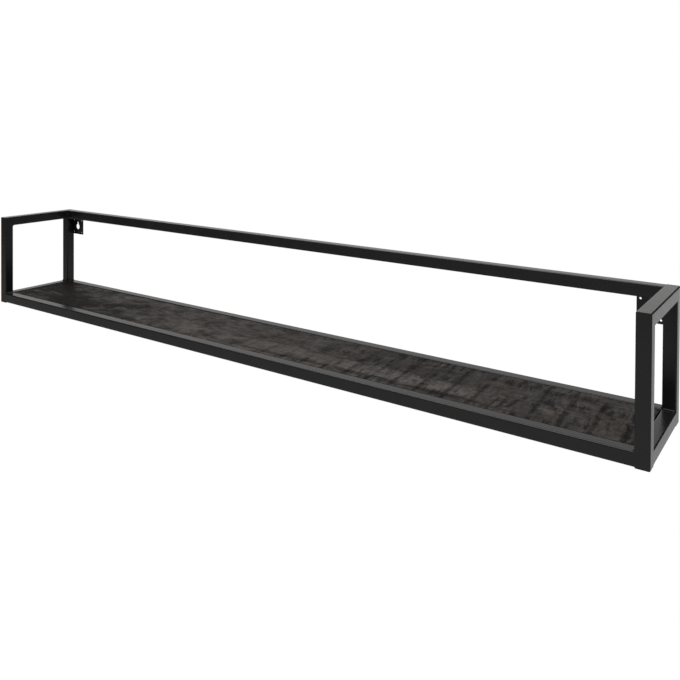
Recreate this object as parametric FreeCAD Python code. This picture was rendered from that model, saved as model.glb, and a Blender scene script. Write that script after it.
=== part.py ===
import FreeCAD, Part
import os

from FreeCAD import Vector

# Wall shelf: an open box frame of square steel tube with a board of two planks lying in its floor.
# X runs along the shelf, +Y points to the wall and +Z points up.
# The origin is below the middle of the shelf, level with the undersides of its foot plugs.
# Every size is in millimetres.

# Frame of square tube
shelf_length = 1450.0
shelf_depth = 190.0
frame_height = 200.0
tube_side = 20.0
tube_wall = 1.5
tube_corner = 2.0
tube_bore_corner = 0.5

# Planks of the board, which lie side by side between the floor rails
board_gap = 1.5
board_sink = 0.5
front_plank_width = 64.0
plank_round = 0.6

# Tabs welded to the floor rails, which carry the planks
tab_length = 30.0
tab_reach = 25.0
tab_thickness = 2.0
tab_rise = 2.0
tab_corner = 4.0
tab_hole_radius = 2.2
tab_hole_reach = 15.0
tab_end_distance = 110.0

# Pan-head wood screws, driven up through the tabs
screw_radius = 1.75
screw_length = 12.0
screw_tip_length = 3.0
screw_tip_radius = 0.3
screw_head_radius = 3.5
screw_head_height = 2.0
screw_head_round = 0.9
recess_width = 1.0
recess_span = 4.2
recess_depth = 1.2
pilot_clearance = 0.05
pilot_spare_depth = 1.0

# Hanger plates with a keyhole and four corner holes
plate_side = 40.0
plate_thickness = 2.0
keyhole_lobe_radius = 7.0
keyhole_neck_radius = 3.0
keyhole_rise = 9.5
keyhole_drop = 1.0
plate_hole_radius = 1.75
plate_hole_inset = 5.5

# Foot plugs, pressed into the open lower ends of the posts
flange_thickness = 1.5
flange_inset = 0.5
flange_corner = 1.8
flange_round = 0.8
plug_depth = 12.0
plug_wall = 1.2
plug_corner = 0.8
plug_clearance = 0.15
rib_height = 1.0
rib_thickness = 1.0
rib_pitch = 3.5
rib_count = 3

# How far each cut runs past the faces that it opens
overrun = 1.0

# Directions
along = Vector(1, 0, 0)
to_wall = Vector(0, 1, 0)
up = Vector(0, 0, 1)
all_ways = along + to_wall + up

# Planes of the frame, from outside to inside
left_out = -shelf_length / 2
left_in = left_out + tube_side
right_out = shelf_length / 2
right_in = right_out - tube_side
front_out = -shelf_depth / 2
front_in = front_out + tube_side
rear_out = shelf_depth / 2
rear_in = rear_out - tube_side
frame_under = flange_thickness
floor_top = frame_under + tube_side
frame_top = frame_under + frame_height
roof_under = frame_top - tube_side

# Planes of the board and of the tabs below it
board_top = floor_top - board_sink
tab_under = frame_under + tab_rise
board_under = tab_under + tab_thickness


def box(low, high):
    """A box between its lowest and highest corners."""
    size = high - low
    return Part.makeBox(size.x, size.y, size.z, low)


def edges_along(shape, direction):
    """The straight edges of a box that run in one direction."""
    return [edge for edge in shape.Edges if round(abs(edge.Curve.Direction.dot(direction)))]


def rounded_bar(low, high, direction, radius):
    """A box whose edges along one direction are rounded."""
    bar = box(low, high)
    return bar.makeFillet(radius, edges_along(bar, direction))


def tube(low, high, direction):
    """A square tube between two corners, open at both ends."""
    bore_step = (all_ways - direction) * tube_wall - direction * overrun
    bore = rounded_bar(low + bore_step, high - bore_step, direction, tube_bore_corner)
    return rounded_bar(low, high, direction, tube_corner).cut(bore)


def end_slab(low_x, high_x, outline):
    """A slab across an end of the shelf, whose outline is given as pairs of Y and Z."""
    corners = [Vector(low_x, y, z) for y, z in outline]
    face = Part.Face(Part.makePolygon(corners + corners[:1]))
    return face.extrude(along * (high_x - low_x))


def post(low_x, high_x, outer_y, inner_y):
    """A post whose top is mitred to the side rail and whose lower end is open."""
    low = Vector(low_x, min(outer_y, inner_y), frame_under)
    high = Vector(high_x, max(outer_y, inner_y), frame_top)
    outline = [(outer_y, frame_under), (inner_y, frame_under), (inner_y, roof_under), (outer_y, frame_top)]
    return tube(low, high, up).common(end_slab(low_x, high_x, outline))


def top_side_rail(low_x, high_x):
    """The rail across the top of an end, mitred to both posts."""
    low = Vector(low_x, front_out, roof_under)
    high = Vector(high_x, rear_out, frame_top)
    outline = [(front_out, frame_top), (rear_out, frame_top), (rear_in, roof_under), (front_in, roof_under)]
    return tube(low, high, to_wall).common(end_slab(low_x, high_x, outline))


def floor_side_rail(low_x, high_x):
    """The rail between the feet of an end's two posts."""
    return tube(Vector(low_x, front_in, frame_under), Vector(high_x, rear_in, floor_top), to_wall)


def long_rail(low_y, high_y, low_z, high_z):
    """A rail that runs the whole way between the two ends."""
    return tube(Vector(left_in, low_y, low_z), Vector(right_in, high_y, high_z), along)


def keyhole_cutter(centre_x, low_y, centre_z):
    """The round lobe that lets a screw's head through, and the neck above it that holds the screw."""
    depth = plate_thickness + 2 * overrun
    lobe_centre = Vector(centre_x, low_y - overrun, centre_z - keyhole_drop)
    neck_centre = lobe_centre + up * keyhole_rise
    lobe = Part.makeCylinder(keyhole_lobe_radius, depth, lobe_centre, to_wall)
    neck_end = Part.makeCylinder(keyhole_neck_radius, depth, neck_centre, to_wall)
    half_neck = along * keyhole_neck_radius
    neck = box(lobe_centre - half_neck, neck_centre + half_neck + to_wall * depth)
    return lobe.fuse([neck, neck_end])


def hanger_plate(low_x):
    """A plate in the corner between a rear post and the rear top rail, welded to the flats of both."""
    high_y = rear_out - tube_corner
    low_y = high_y - plate_thickness
    low_z = roof_under - plate_side
    plate = box(Vector(low_x, low_y, low_z), Vector(low_x + plate_side, high_y, roof_under))
    plate = plate.cut(keyhole_cutter(low_x + plate_side / 2, low_y, low_z + plate_side / 2))
    depth = plate_thickness + 2 * overrun
    for step_x in (plate_hole_inset, plate_side - plate_hole_inset):
        for step_z in (plate_hole_inset, plate_side - plate_hole_inset):
            start = Vector(low_x + step_x, low_y - overrun, low_z + step_z)
            plate = plate.cut(Part.makeCylinder(plate_hole_radius, depth, start, to_wall))
    return plate


def tab_places():
    """Each tab by name, with the middle of its screw hole in its underside."""
    outer = right_in - tab_end_distance
    places = {}
    for stand, x in (("left", -outer), ("middle", 0), ("right", outer)):
        places["front_tab_" + stand] = Vector(x, front_in + tab_hole_reach, tab_under)
        places["rear_tab_" + stand] = Vector(x, rear_in - tab_hole_reach, tab_under)
    return places


def tab(place):
    """A flat tab that stands out from a floor rail, with its free corners rounded and a screw hole."""
    if place.y < 0:
        root_y, free_y = front_in, front_in + tab_reach
    else:
        root_y, free_y = rear_in, rear_in - tab_reach
    half_length = along * (tab_length / 2)
    low = Vector(place.x, min(root_y, free_y), tab_under) - half_length
    high = Vector(place.x, max(root_y, free_y), board_under) + half_length
    plate = box(low, high)
    free_edges = [edge for edge in edges_along(plate, up) if abs(edge.CenterOfMass.y - free_y) < tab_corner]
    plate = plate.makeFillet(tab_corner, free_edges)
    depth = tab_thickness + 2 * overrun
    return plate.cut(Part.makeCylinder(tab_hole_radius, depth, place - up * overrun))


def screw(place):
    """A screw with a domed head below its tab, a cross recess and a pointed tip."""
    head_bottom = place - up * screw_head_height
    head = Part.makeCylinder(screw_head_radius, screw_head_height, head_bottom)
    rim = [edge for edge in head.Edges if edge.Closed and edge.CenterOfMass.z < place.z - screw_head_round]
    head = head.makeFillet(screw_head_round, rim)
    shank_length = screw_length - screw_tip_length
    shank = Part.makeCylinder(screw_radius, shank_length, place)
    point_start = place + up * shank_length
    point = Part.makeCone(screw_radius, screw_tip_radius, screw_tip_length, point_start)
    body = head.fuse([shank, point]).removeSplitter()
    for long_way, short_way in ((along, to_wall), (to_wall, along)):
        half = long_way * (recess_span / 2) + short_way * (recess_width / 2)
        slot = box(head_bottom - half - up * overrun, head_bottom + half + up * recess_depth)
        body = body.cut(slot)
    return body


def plank(low_y, high_y):
    """A plank with its long upper edges eased and pilot holes for the screws that reach it."""
    low = Vector(left_in + board_gap, low_y, board_under)
    high = Vector(right_in - board_gap, high_y, board_top)
    wood = box(low, high)
    eased = [edge for edge in edges_along(wood, along) if edge.CenterOfMass.z > board_top - plank_round]
    wood = wood.makeFillet(plank_round, eased)
    pilot_depth = screw_length - tab_thickness + pilot_spare_depth
    for place in tab_places().values():
        if low_y < place.y < high_y:
            start = Vector(place.x, place.y, board_under - overrun)
            pilot = Part.makeCylinder(screw_radius + pilot_clearance, pilot_depth + overrun, start)
            wood = wood.cut(pilot)
    return wood


def square_bar(x, y, half_side, low_z, high_z, radius):
    """An upright bar of square section about a post's centre line."""
    half = (along + to_wall) * half_side
    centre = Vector(x, y, low_z)
    return rounded_bar(centre - half, centre + half + up * (high_z - low_z), up, radius)


def foot_plug(x, y):
    """A hollow ribbed plug with a thin flange, which closes a post and is what the shelf stands on."""
    flange_half = tube_side / 2 - flange_inset
    rib_half = tube_side / 2 - tube_wall - plug_clearance
    core_half = rib_half - rib_height
    flange = square_bar(x, y, flange_half, 0, frame_under, flange_corner)
    rim = [edge for edge in flange.Edges if edge.BoundBox.ZMax < flange_round]
    flange = flange.makeFillet(flange_round, rim)
    parts = [square_bar(x, y, core_half, frame_under, frame_under + plug_depth, plug_corner)]
    for index in range(rib_count):
        rib_low = frame_under + rib_pitch * (index + 1) - rib_thickness
        parts.append(square_bar(x, y, rib_half, rib_low, rib_low + rib_thickness, plug_corner))
    hollow_top = frame_under + plug_depth + overrun
    hollow = square_bar(x, y, core_half - plug_wall, frame_under, hollow_top, plug_corner)
    return flange.fuse(parts).cut(hollow).removeSplitter()


def build_pieces():
    """Every piece of the shelf by name, each name with its solid or its group of equal fasteners."""
    pieces = {}
    for end, low_x, high_x in (("left", left_out, left_in), ("right", right_in, right_out)):
        pieces[end + "_front_post"] = post(low_x, high_x, front_out, front_in)
        pieces[end + "_rear_post"] = post(low_x, high_x, rear_out, rear_in)
        pieces[end + "_top_side_rail"] = top_side_rail(low_x, high_x)
        pieces[end + "_floor_side_rail"] = floor_side_rail(low_x, high_x)
        centre_x = (low_x + high_x) / 2
        pieces[end + "_front_foot_plug"] = foot_plug(centre_x, (front_out + front_in) / 2)
        pieces[end + "_rear_foot_plug"] = foot_plug(centre_x, (rear_in + rear_out) / 2)
    pieces["rear_top_rail"] = long_rail(rear_in, rear_out, roof_under, frame_top)
    pieces["rear_floor_rail"] = long_rail(rear_in, rear_out, frame_under, floor_top)
    pieces["front_floor_rail"] = long_rail(front_out, front_in, frame_under, floor_top)
    pieces["left_hanger_plate"] = hanger_plate(left_in)
    pieces["right_hanger_plate"] = hanger_plate(right_in - plate_side)
    seam = front_in + board_gap + front_plank_width
    pieces["front_plank"] = plank(front_in + board_gap, seam)
    pieces["rear_plank"] = plank(seam, rear_in - board_gap)
    for name, place in tab_places().items():
        pieces[name] = tab(place)
    pieces["board_screws"] = Part.makeCompound([screw(place) for place in tab_places().values()])
    return pieces


os.makedirs("parts", exist_ok=True)
for name, shape in build_pieces().items():
    shape.exportStep("parts/" + name + ".step")
    print(name, len(shape.Solids), "solid", round(shape.Volume), "mm3")
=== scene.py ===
import math

import bpy
from mathutils import Matrix, Vector


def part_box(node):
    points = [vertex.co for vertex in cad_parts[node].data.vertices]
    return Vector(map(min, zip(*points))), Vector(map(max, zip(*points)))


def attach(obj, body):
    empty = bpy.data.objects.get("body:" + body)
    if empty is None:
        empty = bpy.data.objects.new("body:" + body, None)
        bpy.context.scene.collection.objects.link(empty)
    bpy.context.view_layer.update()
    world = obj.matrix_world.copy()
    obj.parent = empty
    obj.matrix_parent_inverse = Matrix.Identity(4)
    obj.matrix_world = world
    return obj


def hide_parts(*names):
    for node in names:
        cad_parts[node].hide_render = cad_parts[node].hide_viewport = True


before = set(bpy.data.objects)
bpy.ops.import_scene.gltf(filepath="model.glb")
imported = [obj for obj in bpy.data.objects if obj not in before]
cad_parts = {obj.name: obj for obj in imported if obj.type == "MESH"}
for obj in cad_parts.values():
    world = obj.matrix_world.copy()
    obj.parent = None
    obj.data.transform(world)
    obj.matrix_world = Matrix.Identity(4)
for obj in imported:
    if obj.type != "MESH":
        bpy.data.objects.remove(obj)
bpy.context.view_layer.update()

ROOT = "root"            # the frame's only body

# Units and the sizes that the pieces share with the frame, all in metres
MM = 0.001
TUBE_CORNER = 2.0 * MM

post_low, post_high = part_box("left_front_post")
rail_low, rail_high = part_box("front_floor_rail")
top_rail_low, top_rail_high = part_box("rear_top_rail")
plate_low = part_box("left_hanger_plate")[0]

LEFT_OUT, LEFT_IN = post_low.x, post_high.x
FRONT_OUT, FRONT_IN = rail_low.y, rail_high.y
REAR_IN, REAR_OUT = top_rail_low.y, top_rail_high.y
FLOOR_TOP = rail_high.z
ROOF_UNDER, FRAME_TOP = top_rail_low.z, top_rail_high.z


def add_object(name, data):
    """A new object in the scene, with a mesh, lamp or camera as its data."""
    made = bpy.data.objects.new(name, data)
    bpy.context.scene.collection.objects.link(made)
    return made


class Value:
    """A node's output that takes part in Python sums. Each sum adds a Math or a Vector Math node."""

    def __init__(self, net, socket):
        self.net = net
        self.socket = socket

    def out(self, name):
        """Another output of the same node."""
        return Value(self.net, self.socket.node.outputs[name])

    def _sum(self, operation, *parts):
        """Adds the node of one sum, which is a vector sum if any of its parts is a vector."""
        sockets = [part.socket for part in parts if isinstance(part, Value)]
        vector = any(isinstance(part, tuple) for part in parts)
        vector = vector or any(socket.type == "VECTOR" for socket in sockets)
        kind = "ShaderNodeVectorMath" if vector else "ShaderNodeMath"
        filled = [(part,) * 3 if vector and isinstance(part, (int, float)) else part for part in parts]
        return self.net.node(kind, {"operation": operation}, filled)

    def __add__(self, other):
        return self._sum("ADD", self, other)

    def __radd__(self, other):
        return self._sum("ADD", other, self)

    def __sub__(self, other):
        return self._sum("SUBTRACT", self, other)

    def __rsub__(self, other):
        return self._sum("SUBTRACT", other, self)

    def __mul__(self, other):
        return self._sum("MULTIPLY", self, other)

    def __truediv__(self, other):
        return self._sum("DIVIDE", self, other)

    def __abs__(self):
        return self._sum("ABSOLUTE", self)

    def sine(self):
        return self._sum("SINE", self)

    def least(self, other):
        return self._sum("MINIMUM", self, other)

    def most(self, other):
        return self._sum("MAXIMUM", self, other)

    def axes(self):
        """The three parts of a vector."""
        parts = self.net.node("ShaderNodeSeparateXYZ", {}, [self])
        return parts.out("X"), parts.out("Y"), parts.out("Z")

    def step(self, low, high):
        """0 below low, 1 above high and a smooth rise between."""
        settings = {"interpolation_type": "SMOOTHSTEP"}
        inputs = {"Value": self, "From Min": low, "From Max": high}
        return self.net.node("ShaderNodeMapRange", settings, inputs)

    def fall(self, low, high):
        """1 below low, 0 above high and a smooth fall between."""
        return 1.0 - self.step(low, high)

    def hill(self, start, top, edge, end):
        """0 below start and above end, 1 from top to edge, with smooth slopes between."""
        return self.step(start, top) * self.fall(edge, end)


class Net:
    """A node tree, of a material or of geometry, that nodes are added to."""

    def __init__(self, tree):
        self.tree = tree

    def node(self, kind, settings, inputs):
        """Adds a node and gives its first output. Its settings are set before its inputs."""
        made = self.tree.nodes.new(kind)
        for name, setting in settings.items():
            if name == "stops":
                self._set_stops(made.color_ramp, setting)
            else:
                setattr(made, name, setting)
        pairs = inputs.items() if isinstance(inputs, dict) else enumerate(inputs)
        for key, value in pairs:
            if isinstance(value, Value):
                self.tree.links.new(value.socket, made.inputs[key])
            else:
                made.inputs[key].default_value = value
        return Value(self, next(socket for socket in made.outputs if socket.enabled))

    def _set_stops(self, ramp, stops):
        while len(ramp.elements) > 1:
            ramp.elements.remove(ramp.elements[-1])
        ramp.elements[0].position, ramp.elements[0].color = stops[0]
        for place, colour in stops[1:]:
            ramp.elements.new(place).color = colour

    def vector(self, x, y, z):
        return self.node("ShaderNodeCombineXYZ", {}, [x, y, z])

    def noise(self, place, scale, detail=2.0, roughness=0.5, distortion=0.0):
        """Smooth noise about 0.5, whose features are one over scale metres wide."""
        inputs = {"Vector": place, "Scale": scale, "Detail": detail,
                  "Roughness": roughness, "Distortion": distortion}
        return self.node("ShaderNodeTexNoise", {}, inputs)

    def mix(self, factor, first, second):
        """A colour between two colours."""
        return self.node("ShaderNodeMix", {"data_type": "RGBA"}, {0: factor, 6: first, 7: second})


# Materials

def new_material(name):
    """A material with its net, its shader and the object coordinates that its pattern reads."""
    material = bpy.data.materials.new(name)
    material.use_nodes = True
    net = Net(material.node_tree)
    shader = material.node_tree.nodes["Principled BSDF"]
    place = net.node("ShaderNodeTexCoord", {}, {}).out("Object")
    return material, net, shader, place


def feed(net, shader, links):
    """Links values to the shader's inputs that may change over a surface."""
    for name, value in links.items():
        net.tree.links.new(value.socket, shader.inputs[name])


def bump(net, height, distance):
    """A normal that leans as if a height of 1 were relief of that distance."""
    inputs = {"Height": height, "Distance": distance, "Strength": 1.0}
    return net.node("ShaderNodeBump", {}, inputs).out("Normal")


def powder_coat():
    """Fine-textured satin black powder coat over steel."""
    material, net, shader, place = new_material("black_powder_coat")
    orange_peel = net.noise(place, 900.0, detail=3.0, roughness=0.6)
    cloud = net.noise(place, 35.0, detail=4.0, roughness=0.6)
    speck = net.noise(place, 2600.0, detail=1.0).step(0.66, 0.74)
    ripple = net.noise(place, 260.0, detail=3.0, roughness=0.65)
    tone = net.mix(cloud.step(0.3, 0.7), (0.0120, 0.0120, 0.0127, 1), (0.0175, 0.0175, 0.0182, 1))
    colour = net.mix(speck * 0.5, tone, (0.040, 0.040, 0.041, 1))
    roughness = 0.20 + cloud * 0.07 + orange_peel * 0.05
    normal = bump(net, orange_peel * 0.3 + ripple, 0.12 * MM)
    feed(net, shader, {"Base Color": colour, "Roughness": roughness, "Normal": normal})
    return material


def plug_plastic():
    """Matt moulded plastic."""
    material, net, shader, place = new_material("black_plug_plastic")
    grain = net.noise(place, 1500.0, detail=2.0)
    tone = net.mix(grain, (0.010, 0.010, 0.011, 1), (0.017, 0.017, 0.018, 1))
    normal = bump(net, grain, 0.04 * MM)
    feed(net, shader, {"Base Color": tone, "Roughness": 0.5 + grain * 0.2, "Normal": normal})
    return material


def screw_zinc():
    """Bright, slightly cloudy zinc plating."""
    material, net, shader, place = new_material("zinc_plating")
    cloud = net.noise(place, 300.0, detail=3.0)
    tone = net.mix(cloud, (0.42, 0.42, 0.40, 1), (0.62, 0.62, 0.59, 1))
    shader.inputs["Metallic"].default_value = 1.0
    feed(net, shader, {"Base Color": tone, "Roughness": 0.28 + cloud * 0.22})
    return material


# How far the saw's marks lean along the shelf per metre of depth, and the pitch and start of the deep ones
SAW_SLANT = 0.06
SAW_BAND_PITCH = 44.5 * MM
SAW_BAND_START = -3.9 * MM


def worked(x):
    """How much of the saw's work is left: 0 over the smoother left half, 1 over the right quarter."""
    return x.step(0.02, 0.36)


def saw_bands(net, place):
    """The blade's deep marks, 0 to 1. They cross both planks at one pitch, a little aslant and ragged."""
    x, y, z = place.axes()
    sway = (net.noise(place, 9.0, detail=1.0) - 0.5) * (10 * MM)
    ragged = (net.noise(place, 160.0, detail=2.0) - 0.5) * (9 * MM)
    along = x + y * SAW_SLANT + sway + ragged + SAW_BAND_START
    wave = (along * (2 * math.pi / SAW_BAND_PITCH)).sine()
    force = net.noise(net.vector(x, y * 0.9, z), 28.0, detail=3.0).step(0.32, 0.58)
    kept = 0.10 + worked(x - y * 1.2) * 0.90
    return wave.step(0.74, 0.99) * force * kept


def saw_ridges(net, place, own):
    """The blade's fine ridges, about 0: short ragged lines across the plank, in busy and in calm areas."""
    x, y, z = own.axes()
    sway = (net.noise(own, 14.0, detail=1.0) - 0.5) * (10 * MM)
    across = net.vector(x + y * SAW_SLANT + sway, y * 0.28, z * 0.28)
    lines = net.noise(across, 125.0, detail=3.0, roughness=0.66) - 0.5
    busy = net.noise(own, 17.0, detail=1.0).step(0.36, 0.62)
    return lines * (0.25 + worked(place.axes()[0]) * 0.75) * (0.55 + busy * 0.75)


def grain_streaks(net, place):
    """Fibres along the plank, about 0.5."""
    x, y, z = place.axes()
    swirl = net.noise(net.vector(x, y * 2.0, z), 3.0, detail=1.0) * 0.03
    return net.noise(net.vector(x * 0.06, y + swirl, z), 210.0, detail=4.0, roughness=0.6)


# Where each plank's grain lies in the noise, how much darker than usual its stain is, how strong its cuts
# and blotches are, and how far it has weathered to grey
PLANKS = {
    "front_plank": {"shift": (0.0, 0.0, 0.0), "stain": 0.0, "blotches": 1.0, "grey": 0.35},
    "rear_plank": {"shift": (1.7, 0.9, 0.4), "stain": 0.03, "blotches": 0.75, "grey": 0.55},
}
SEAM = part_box("front_plank")[1].y


def stain_and_painted_shade(net, place):
    """How much darker, or paler if below 0, the planks are in soft shapes, which are placed in metres. Most
    are the stain's own; the darker corner by the left rear post's reflection is painted shade.
    """
    x, y = place.axes()[:2]
    wander = net.noise(place, 26.0, detail=4.0, roughness=0.6) - 0.5
    front = y.fall(SEAM - 4 * MM, SEAM + 2 * MM)
    near_front = y.fall(-0.04, 0.04)

    # The left end is darker, most of all near the front, and its front corner gets painted shade
    left = 0.04 + x.fall(-0.62, -0.12) * (0.07 + near_front * 0.06) + x.fall(-0.25, -0.15) * 0.05
    left = left + near_front * x.hill(-0.66, -0.50, -0.35, -0.16) * 0.16
    # Painted shade: darker left of the line along which the left rear post is mirrored, deepening that
    # reflection
    reflection_shade_corner = (x + y * 1.39 + wander * 0.06).fall(-0.63, -0.47)

    # A dark plume crosses the planks aslant, from the front edge backwards to the right
    spread = 0.020 + y.fall(-0.07, 0.03) * 0.020
    plume = (abs(y + 0.058 - (x + 0.5) * 0.583 + wander * 0.05) / spread).fall(0.1, 1.0)
    plume = plume * x.hill(-0.58, -0.48, -0.38, -0.29)

    # The front plank has a pale stretch, a dark line between that and its front edge, and a darker right end
    patchy = net.noise(place, 38.0, detail=3.0).step(0.38, 0.60)
    pale = front * (y + wander * 0.016).step(-0.056, -0.046) * x.hill(0.06, 0.18, 0.40, 0.54)
    pale = pale * (0.15 + patchy)
    edge_line = abs(y + 0.0585 + wander * 0.012).fall(0.003, 0.009) * x.hill(-0.06, 0.05, 0.42, 0.52)
    front_end = front * x.step(0.46, 0.55)

    # The rear plank changes along its length, and a dark streak runs along it near its right end
    rear = x.fall(-0.57, -0.45) * 0.12 + x.step(-0.42, -0.36) * 0.03 + x.step(-0.22, -0.14) * 0.06
    rear = rear - x.step(0.0, 0.12) * 0.02 + x.step(0.16, 0.30) * 0.08 - x.step(0.38, 0.47) * 0.12
    streak = abs(y - 0.048 + wander * 0.016).fall(0.003, 0.010) * x.hill(0.42, 0.47, 0.59, 0.64)

    darker = left + reflection_shade_corner * 0.17 + plume * 0.20 + edge_line * 0.20 + front_end * 0.04
    darker = darker + (1.0 - front) * rear + streak * 0.14
    return darker - pale * 0.17


def stained_wood(name, shift, stain, blotches, grey):
    """Rough-sawn, oiled hardwood. Its black-brown stain lies darkest in the saw's marks and the pores."""
    material, net, shader, place = new_material(name)
    own = place + shift
    x, y, z = own.axes()
    fibres = net.noise(net.vector(x * 0.05, y, z), 750.0, detail=3.5, roughness=0.66) - 0.5
    feather = net.vector(fibres, 0.0, 0.0)
    bands = saw_bands(net, place + feather * (10 * MM)) * blotches
    ridges = saw_ridges(net, place, own + feather * (4 * MM))
    cuts = (0.0 - ridges).step(0.02, 0.15) * blotches
    rough_end = worked(place.axes()[0])
    smooth_end = 1.0 - rough_end
    across = net.vector(x + y * SAW_SLANT, y * 0.08, z * 0.08)
    scratches = (net.noise(across, 520.0, detail=2.0, roughness=0.6) - 0.5) * (0.2 + rough_end * 0.8)
    streaks = grain_streaks(net, own)
    stained = own + feather * (30 * MM)
    fuzz = net.noise(net.vector(x, y * 0.6, z), 360.0, detail=3.0, roughness=0.7)
    mottle = net.noise(stained, 115.0, detail=2.0, roughness=0.6)
    patch = net.noise(stained * (1.0, 1.3, 1.0), 30.0, detail=3.0, roughness=0.6, distortion=0.5)
    # The stain's shapes, with the painted shade of the post's reflection among them
    figure_and_shade = stain_and_painted_shade(net, place)
    pores = net.noise(net.vector(x * 0.10, y, z), 1300.0, detail=2.0).step(0.60, 0.68)

    tone = 0.57 + (fuzz - 0.5) * 0.7 + (mottle - 0.5) * 0.45 + (patch - 0.5) * blotches
    tone = tone + (streaks - 0.5) * 0.25 + ridges + fibres * 1.1 + scratches * 0.35
    tone = tone - cuts * 0.36 - bands * 0.45 - figure_and_shade - stain
    stops = [
        (0.0, (0.0060, 0.0041, 0.0035, 1)),
        (0.35, (0.0175, 0.0125, 0.0106, 1)),
        (0.6, (0.0430, 0.0312, 0.0262, 1)),
        (1.0, (0.1030, 0.0775, 0.0670, 1)),
    ]
    colour = net.node("ShaderNodeValToRGB", {"stops": stops}, {"Fac": tone})
    colour = net.mix(pores * 0.7, colour, (0.007, 0.006, 0.005, 1))
    greyer = net.node("ShaderNodeHueSaturation", {}, {"Hue": 0.53, "Saturation": 0.35, "Color": colour})
    weathered = net.noise(own, 10.0, detail=1.5, roughness=0.5).step(0.38, 0.58)
    colour = net.mix(weathered * grey * (1.0 - smooth_end * 0.9), colour, greyer)

    height = ridges * 1.4 + fuzz * 0.3 + mottle * 0.4 + fibres * 0.7 + scratches * 0.6
    height = height - pores * 0.3 - bands * 0.6

    blotch = (patch - 0.5) * (0.9 + smooth_end * 1.3) * blotches - figure_and_shade * 1.25
    sheen = 0.27 + blotch * 0.5 + (fuzz - 0.5) * 0.2 + ridges * 0.25 + fibres * 0.3 + scratches * 0.2
    sheen = (sheen - cuts * 0.13 - bands * 0.14).most(0.0)

    shader.inputs["Specular IOR Level"].default_value = 0.12
    shader.inputs["Coat Roughness"].default_value = 0.27
    links = {
        "Base Color": colour,
        "Roughness": 0.60 + fuzz * 0.2,
        "Coat Weight": sheen,
        "Normal": bump(net, height, 0.6 * MM),
    }
    feed(net, shader, links)
    return material


coat = powder_coat()
plastic = plug_plastic()
zinc = screw_zinc()
wood = {node: stained_wood(node + "_stain", **plank) for node, plank in PLANKS.items()}


def material_of(name):
    """The material of a node of the frame. The posts, rails, plates and tabs are coated steel."""
    if name in PLANKS:
        return wood[name]
    if name.endswith("_plug"):
        return plastic
    if name.endswith("_screws"):
        return zinc
    return coat


for name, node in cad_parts.items():
    node.data.materials.clear()
    node.data.materials.append(material_of(name))


# Pieces made by geometry nodes

def geometry_tree(name, inputs):
    """An empty geometry tree with named inputs, and the node that its inputs come out of."""
    tree = bpy.data.node_groups.new(name, "GeometryNodeTree")
    tree.interface.new_socket("Geometry", in_out="OUTPUT", socket_type="NodeSocketGeometry")
    tree.interface.new_socket("Geometry", in_out="INPUT", socket_type="NodeSocketGeometry")
    for label, kind in inputs.items():
        tree.interface.new_socket(label, in_out="INPUT", socket_type="NodeSocket" + kind)
    net = Net(tree)
    return net, net.node("NodeGroupInput", {}, {})


def close_tree(net, geometry):
    """Ends a tree with real meshes that carry the material given as an input."""
    group_input = next(node for node in net.tree.nodes if node.bl_idname == "NodeGroupInput")
    real = net.node("GeometryNodeRealizeInstances", {}, [geometry])
    dressed = net.node("GeometryNodeSetMaterial", {}, {"Geometry": real})
    net.tree.links.new(group_input.outputs["Material"], dressed.socket.node.inputs["Material"])
    output = net.tree.nodes.new("NodeGroupOutput")
    net.tree.links.new(dressed.socket, output.inputs[0])


def grow(name, mesh, tree, values):
    """Runs a geometry tree on a mesh and keeps the result as a plain piece."""
    source = add_object(name, mesh)
    modifier = source.modifiers.new("grow", "NODES")
    modifier.node_group = tree
    for item in tree.interface.items_tree:
        if item.in_out == "INPUT" and item.name in values:
            modifier[item.identifier] = values[item.name]
    bpy.context.view_layer.update()
    evaluated = source.evaluated_get(bpy.context.evaluated_depsgraph_get())
    source.data = bpy.data.meshes.new_from_object(evaluated)
    source.modifiers.remove(modifier)
    source.data.name = name
    return source


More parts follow.
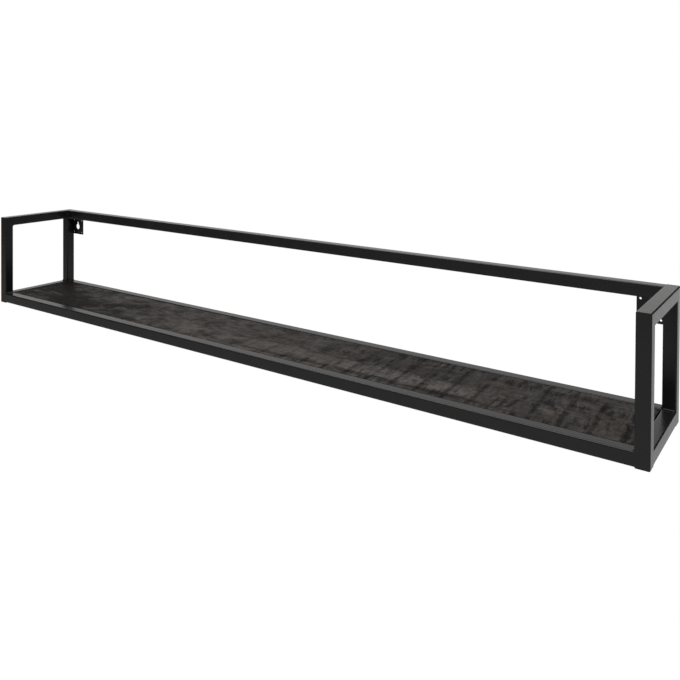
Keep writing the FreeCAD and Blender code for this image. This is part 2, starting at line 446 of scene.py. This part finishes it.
def plank_tree():
    """A plank whose faces are roughened by the saw, with worn edges. Everything lies inside its box."""
    labels = {
        "Centre": "Vector", "Size": "Vector", "Points Along": "Int", "Points Across": "Int",
        "Points Through": "Int", "Grain Shift": "Vector", "Band Depth": "Float", "Ridge Depth": "Float",
        "Grain Depth": "Float", "Edge Wear": "Float", "Wear Reach": "Float", "Material": "Material",
    }
    net, given = geometry_tree("rough_sawn_plank", labels)
    counts = {"Vertices X": given.out("Points Along"), "Vertices Y": given.out("Points Across"),
              "Vertices Z": given.out("Points Through"), "Size": given.out("Size")}
    block = net.node("GeometryNodeMeshCube", {}, counts)
    placed = net.node("GeometryNodeTransform", {}, {"Geometry": block, "Translation": given.out("Centre")})
    place = net.node("GeometryNodeInputPosition", {}, {})
    normal = net.node("GeometryNodeInputNormal", {}, {})
    own = place + given.out("Grain Shift")
    room_x, room_y, room_z = (given.out("Size") * 0.5 - abs(place - given.out("Centre"))).axes()
    second_least = room_x.most(room_y).least(room_x.most(room_z)).least(room_y.most(room_z))
    near_edge = 1.0 - (second_least / given.out("Wear Reach")).least(1.0)
    ragged = net.noise(place, 90.0, detail=3.0, roughness=0.7)
    wear = near_edge * ragged * 2.0 * given.out("Edge Wear")
    band = saw_bands(net, place) * given.out("Band Depth")
    ridge = (0.4 - saw_ridges(net, place, own)).most(0.0) * given.out("Ridge Depth")
    fibre = grain_streaks(net, own) * given.out("Grain Depth")

    # At the seam the two planks keep flat faces and whole edges, so they meet without a gap
    from_seam = abs(place.axes()[1] - SEAM)
    inward = normal * (0.0 - (band + ridge + fibre + wear * from_seam.step(0.002, 0.006)))
    inward = inward * net.vector(1.0, from_seam.step(0.0005, 0.003), 1.0)

    shaped = net.node("GeometryNodeSetPosition", {}, {"Geometry": placed, "Offset": inward})
    smooth = net.node("GeometryNodeSetShadeSmooth", {}, {"Geometry": shaped, "Shade Smooth": True})
    sharp = net.node("GeometryNodeInputMeshEdgeAngle", {}, {}).step(0.6, 0.7)
    edged = net.node("GeometryNodeSetShadeSmooth", {"domain": "EDGE"},
                     {"Geometry": smooth, "Selection": sharp, "Shade Smooth": False})
    close_tree(net, edged)
    return net.tree


def make_planks():
    """The two planks, each in the box of the plank that it stands for, with their points this far apart."""
    along, across, through = 1.3 * MM, 3.0 * MM, 3.0 * MM
    tree = plank_tree()
    for node, plank in PLANKS.items():
        low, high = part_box(node)
        size = high - low
        values = {
            "Centre": list((low + high) / 2),
            "Size": list(size),
            "Points Along": round(size.x / along) + 1,
            "Points Across": round(size.y / across) + 1,
            "Points Through": round(size.z / through) + 1,
            "Grain Shift": plank["shift"],
            "Band Depth": 0.40 * MM,
            "Ridge Depth": 0.45 * MM,
            "Grain Depth": 0.10 * MM,
            "Edge Wear": 0.25 * MM,
            "Wear Reach": 2.5 * MM,
            "Material": wood[node],
        }
        piece = grow(node + "_sawn", bpy.data.meshes.new(node), tree, values)
        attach(piece, ROOT)
        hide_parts(node)


def weld_tree():
    """A rippled weld bead along each edge of the mesh it is given."""
    labels = {
        "Bead Radius": "Float", "Ripple Pitch": "Float", "Ripple Height": "Float", "Step": "Float",
        "Sides": "Int", "Material": "Material",
    }
    net, given = geometry_tree("weld_beads", labels)
    curves = net.node("GeometryNodeMeshToCurve", {}, {"Mesh": given.out("Geometry")})
    stepped = net.node("GeometryNodeResampleCurve", {"mode": "LENGTH"},
                       {"Curve": curves, "Length": given.out("Step")})
    run = net.node("GeometryNodeSplineParameter", {}, {}).out("Length")
    place = net.node("GeometryNodeInputPosition", {}, {})
    uneven = net.noise(place, 220.0, detail=2.0)
    wave = (run * (2 * math.pi) / given.out("Ripple Pitch") + uneven * 4.0).sine()
    radius = given.out("Bead Radius") * (0.85 + uneven * 0.3) + wave * given.out("Ripple Height")
    ring = {"Resolution": given.out("Sides"), "Radius": 1.0}
    profile = net.node("GeometryNodeCurvePrimitiveCircle", {}, ring)
    bead = net.node("GeometryNodeCurveToMesh", {},
                    {"Curve": stepped, "Profile Curve": profile, "Scale": radius, "Fill Caps": True})
    smooth = net.node("GeometryNodeSetShadeSmooth", {}, {"Geometry": bead, "Shade Smooth": True})
    close_tree(net, smooth)
    return net.tree


def weld_lines():
    """The inner corners that are welded with a bead, as pairs of end points."""
    lines = []
    for side in (-1, 1):
        inner, outer = side * abs(LEFT_IN), side * abs(LEFT_OUT)
        across = (inner + side * TUBE_CORNER, outer - side * TUBE_CORNER)
        for y in (FRONT_IN, REAR_IN):
            for z in (FLOOR_TOP, ROOF_UNDER):
                lines.append([(x, y, z) for x in across])
        front_span = (FRONT_OUT + TUBE_CORNER, FRONT_IN - TUBE_CORNER)
        rear_span = (REAR_IN + TUBE_CORNER, REAR_OUT - TUBE_CORNER)
        above_plate = (REAR_IN + TUBE_CORNER, plate_low.y)
        for z, span in ((FLOOR_TOP, front_span), (FLOOR_TOP, rear_span), (ROOF_UNDER, above_plate)):
            lines.append([(inner, y, z) for y in span])
        upright = (ROOF_UNDER + TUBE_CORNER, FRAME_TOP - TUBE_CORNER)
        lines.append([(inner, REAR_IN, z) for z in upright])
    return lines


def make_welds():
    """All the beads of the frame as one piece."""
    points = [point for line in weld_lines() for point in line]
    mesh = bpy.data.meshes.new("weld_lines")
    mesh.from_pydata(points, [(index, index + 1) for index in range(0, len(points), 2)], [])
    values = {
        "Bead Radius": 2.1 * MM,
        "Ripple Pitch": 1.8 * MM,
        "Ripple Height": 0.16 * MM,
        "Step": 0.4 * MM,
        "Sides": 16,
        "Material": coat,
    }
    piece = grow("frame_weld_beads", mesh, weld_tree(), values)
    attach(piece, ROOT)


def groove_fill(corner, first, second, run, length, vertices, faces):
    """Adds a bar that fills the groove at a tube's rounded edge and ends flush with both flats.

    corner is the sharp corner that the fill reaches, first and second point from it along the two flats,
    and run points along the groove. The fill's round side lies a hair inside the tube.
    """
    corner, first, second, run = Vector(corner), Vector(first), Vector(second), Vector(run)
    centre = corner + (first + second) * TUBE_CORNER
    fill_radius = TUBE_CORNER - 0.03 * MM
    outline = [corner]
    steps = 8
    for step in range(steps + 1):
        turn = math.pi / 2 * step / steps
        outline.append(centre - (second * math.cos(turn) + first * math.sin(turn)) * fill_radius)
    outline[1] = corner + first * TUBE_CORNER
    outline[-1] = corner + second * TUBE_CORNER
    start = len(vertices)
    count = len(outline)
    for shift in (0.0, length):
        vertices.extend(point + run * shift for point in outline)
    if first.cross(second).dot(run) < 0:
        order = list(range(count))
    else:
        order = list(reversed(range(count)))
    faces.append([start + index for index in order])
    faces.append([start + count + index for index in reversed(order)])
    for here, there in zip(order, order[1:] + order[:1]):
        faces.append([start + there, start + here, start + count + here, start + count + there])


def make_flush_welds():
    """The ground welds that level the grooves where a rail's end meets a post's rounded edge.

    The upright ones stop half a rounded edge short of the rail's top and underside.
    """
    vertices, faces = [], []
    low_start, top_start = rail_low.z + TUBE_CORNER / 2, ROOF_UNDER + TUBE_CORNER / 2
    tall = FLOOR_TOP - rail_low.z - TUBE_CORNER
    wide = REAR_OUT - REAR_IN - 2 * TUBE_CORNER
    for side in (-1, 1):
        inner, outer = side * abs(LEFT_IN), side * abs(LEFT_OUT)
        outwards, inwards = (side, 0, 0), (-side, 0, 0)
        upright_grooves = [
            ((inner, FRONT_OUT, low_start), outwards, (0, 1, 0)),
            ((inner, REAR_OUT, low_start), outwards, (0, -1, 0)),
            ((inner, REAR_OUT, top_start), outwards, (0, -1, 0)),
            ((inner, REAR_IN, top_start), outwards, (0, 1, 0)),
            ((outer, FRONT_IN, low_start), (0, -1, 0), inwards),
            ((outer, REAR_IN, low_start), (0, 1, 0), inwards),
        ]
        for corner, first, second in upright_grooves:
            groove_fill(corner, first, second, (0, 0, 1), tall, vertices, faces)
        top_corner = (inner, REAR_IN + TUBE_CORNER, FRAME_TOP)
        groove_fill(top_corner, outwards, (0, 0, -1), (0, 1, 0), wide, vertices, faces)
    mesh = bpy.data.meshes.new("frame_flush_welds")
    mesh.from_pydata(vertices, [], faces)
    mesh.materials.append(coat)
    piece = add_object("frame_flush_welds", mesh)
    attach(piece, ROOT)


make_planks()
make_welds()
make_flush_welds()


# Floor, light and camera

def seen_directly(rays):
    """1 for what the camera sees itself, also through something clear, and 0 for reflections and light."""
    return rays.out("Is Camera Ray").most(rays.out("Is Transmission Ray"))


def make_floor():
    """A plain pale floor well below the shelf, which shows to the camera as the white of the background, and
    to shiny faces as a painted glow that is brightest behind the shelf.
    """
    radius, depth, corners = 8.5, -1.25, 96
    turns = [2 * math.pi * index / corners for index in range(corners)]
    mesh = bpy.data.meshes.new("floor")
    mesh.from_pydata([(radius * math.cos(turn), radius * math.sin(turn), depth) for turn in turns],
                     [], [tuple(range(corners))])
    floor = add_object("floor", mesh)
    material, net, shader, place = new_material("pale_floor")
    shader.inputs["Base Color"].default_value = (0.80, 0.80, 0.80, 1)
    shader.inputs["Roughness"].default_value = 0.9
    white = net.node("ShaderNodeEmission", {}, {"Color": (1, 1, 1, 1), "Strength": 1.03})
    white_share = 0.965
    lit = Value(net, shader.outputs["BSDF"])

    # Shiny faces see the floor glow: a painted pool of light behind the shelf, dim elsewhere
    x, y = place.axes()[:2]
    behind = y.step(0.4, 2.0) * abs(x - y * 0.1).fall(1.5, 4.0)
    painted_glow = 0.165 + x.step(-5.0, -1.0) * 0.095 + behind * (0.26 + y.step(3.0, 6.5) * 0.20)
    rays = net.node("ShaderNodeLightPath", {}, {})
    seen = seen_directly(rays).most(rays.out("Is Glossy Ray") * painted_glow)
    both = net.node("ShaderNodeMixShader", {}, [seen * white_share, lit, white])
    net.tree.links.new(both.socket, material.node_tree.nodes["Material Output"].inputs["Surface"])
    mesh.materials.append(material)


def make_world():
    """White to the camera. It lights as a low white backdrop, behind and to the left, in a dim room."""
    world = bpy.data.worlds.new("studio")
    bpy.context.scene.world = world
    world.use_nodes = True
    net = Net(world.node_tree)
    x, y, z = net.node("ShaderNodeTexCoord", {}, {}).out("Generated").axes()

    # The backdrop ends straight behind the shelf and gets dimmer upwards
    left_of_edge = (y * 0.12 - x * 0.99).step(0.05, 0.19)
    fade = (1.0 - z.step(0.28, 0.72) * 0.9) * (0.84 - z.step(0.15, 0.25) * 0.26)
    backdrop = left_of_edge * y.step(-0.15, 0.20) * fade

    # The room is a little lighter above and in front
    front = (0.0 - y).step(0.25, 0.85) * (1.0 - abs(x - 0.3).step(0.4, 0.9) * 0.5)
    room = 0.04 + z.step(0.3, 1.0) * 0.3 + front * 0.08
    studio = backdrop.most(room)

    seen = seen_directly(net.node("ShaderNodeLightPath", {}, {}))
    strength = seen + (1.0 - seen) * studio
    colour = net.mix(seen, (1.0, 0.993, 0.98, 1), (1, 1, 1, 1))
    background = world.node_tree.nodes["Background"]
    net.tree.links.new(strength.socket, background.inputs["Strength"])
    net.tree.links.new(colour.socket, background.inputs["Color"])


def make_softbox(name, place, target, width, height, power):
    """A large area lamp aimed at a point. Its power is in watts."""
    lamp = bpy.data.lights.new(name, "AREA")
    lamp.shape = "RECTANGLE"
    lamp.size, lamp.size_y, lamp.energy = width, height, power
    holder = add_object(name, lamp)
    holder.location = place
    holder.rotation_euler = (Vector(target) - Vector(place)).to_track_quat("-Z", "Y").to_euler()


def make_camera():
    """The photograph's camera: a level one with its lens shifted down, as fitted to the frame's edges."""
    place = Vector((0.9271, -1.0929, 0.4507))
    yaw, pitch, roll = math.radians(-35.053), math.radians(0.803), math.radians(-0.304)
    photo_side, focal, middle_x, middle_y = 680.0, 744.33, 329.09, 124.48
    forward = Vector((math.sin(yaw) * math.cos(pitch), math.cos(yaw) * math.cos(pitch), -math.sin(pitch)))
    level_right = Vector((math.cos(yaw), -math.sin(yaw), 0.0))
    level_down = forward.cross(level_right)
    right = level_right * math.cos(roll) + level_down * math.sin(roll)
    down = level_down * math.cos(roll) - level_right * math.sin(roll)
    data = bpy.data.cameras.new("camera")
    data.sensor_width = 36.0
    data.lens = focal / photo_side * data.sensor_width
    data.shift_x = (photo_side / 2 - middle_x) / photo_side
    data.shift_y = (middle_y - photo_side / 2) / photo_side
    data.clip_start, data.clip_end = 0.05, 100.0
    camera = add_object("camera", data)
    camera.matrix_world = Matrix.Translation(place) @ Matrix((right, -down, -forward)).transposed().to_4x4()
    bpy.context.scene.camera = camera


make_floor()
make_world()
make_softbox("overhead_softbox", place=(-0.1, -0.25, 1.9), target=(0, 0, 0), width=2.6, height=1.6,
             power=28.0)
make_camera()
bpy.context.scene.view_settings.view_transform = "Standard"
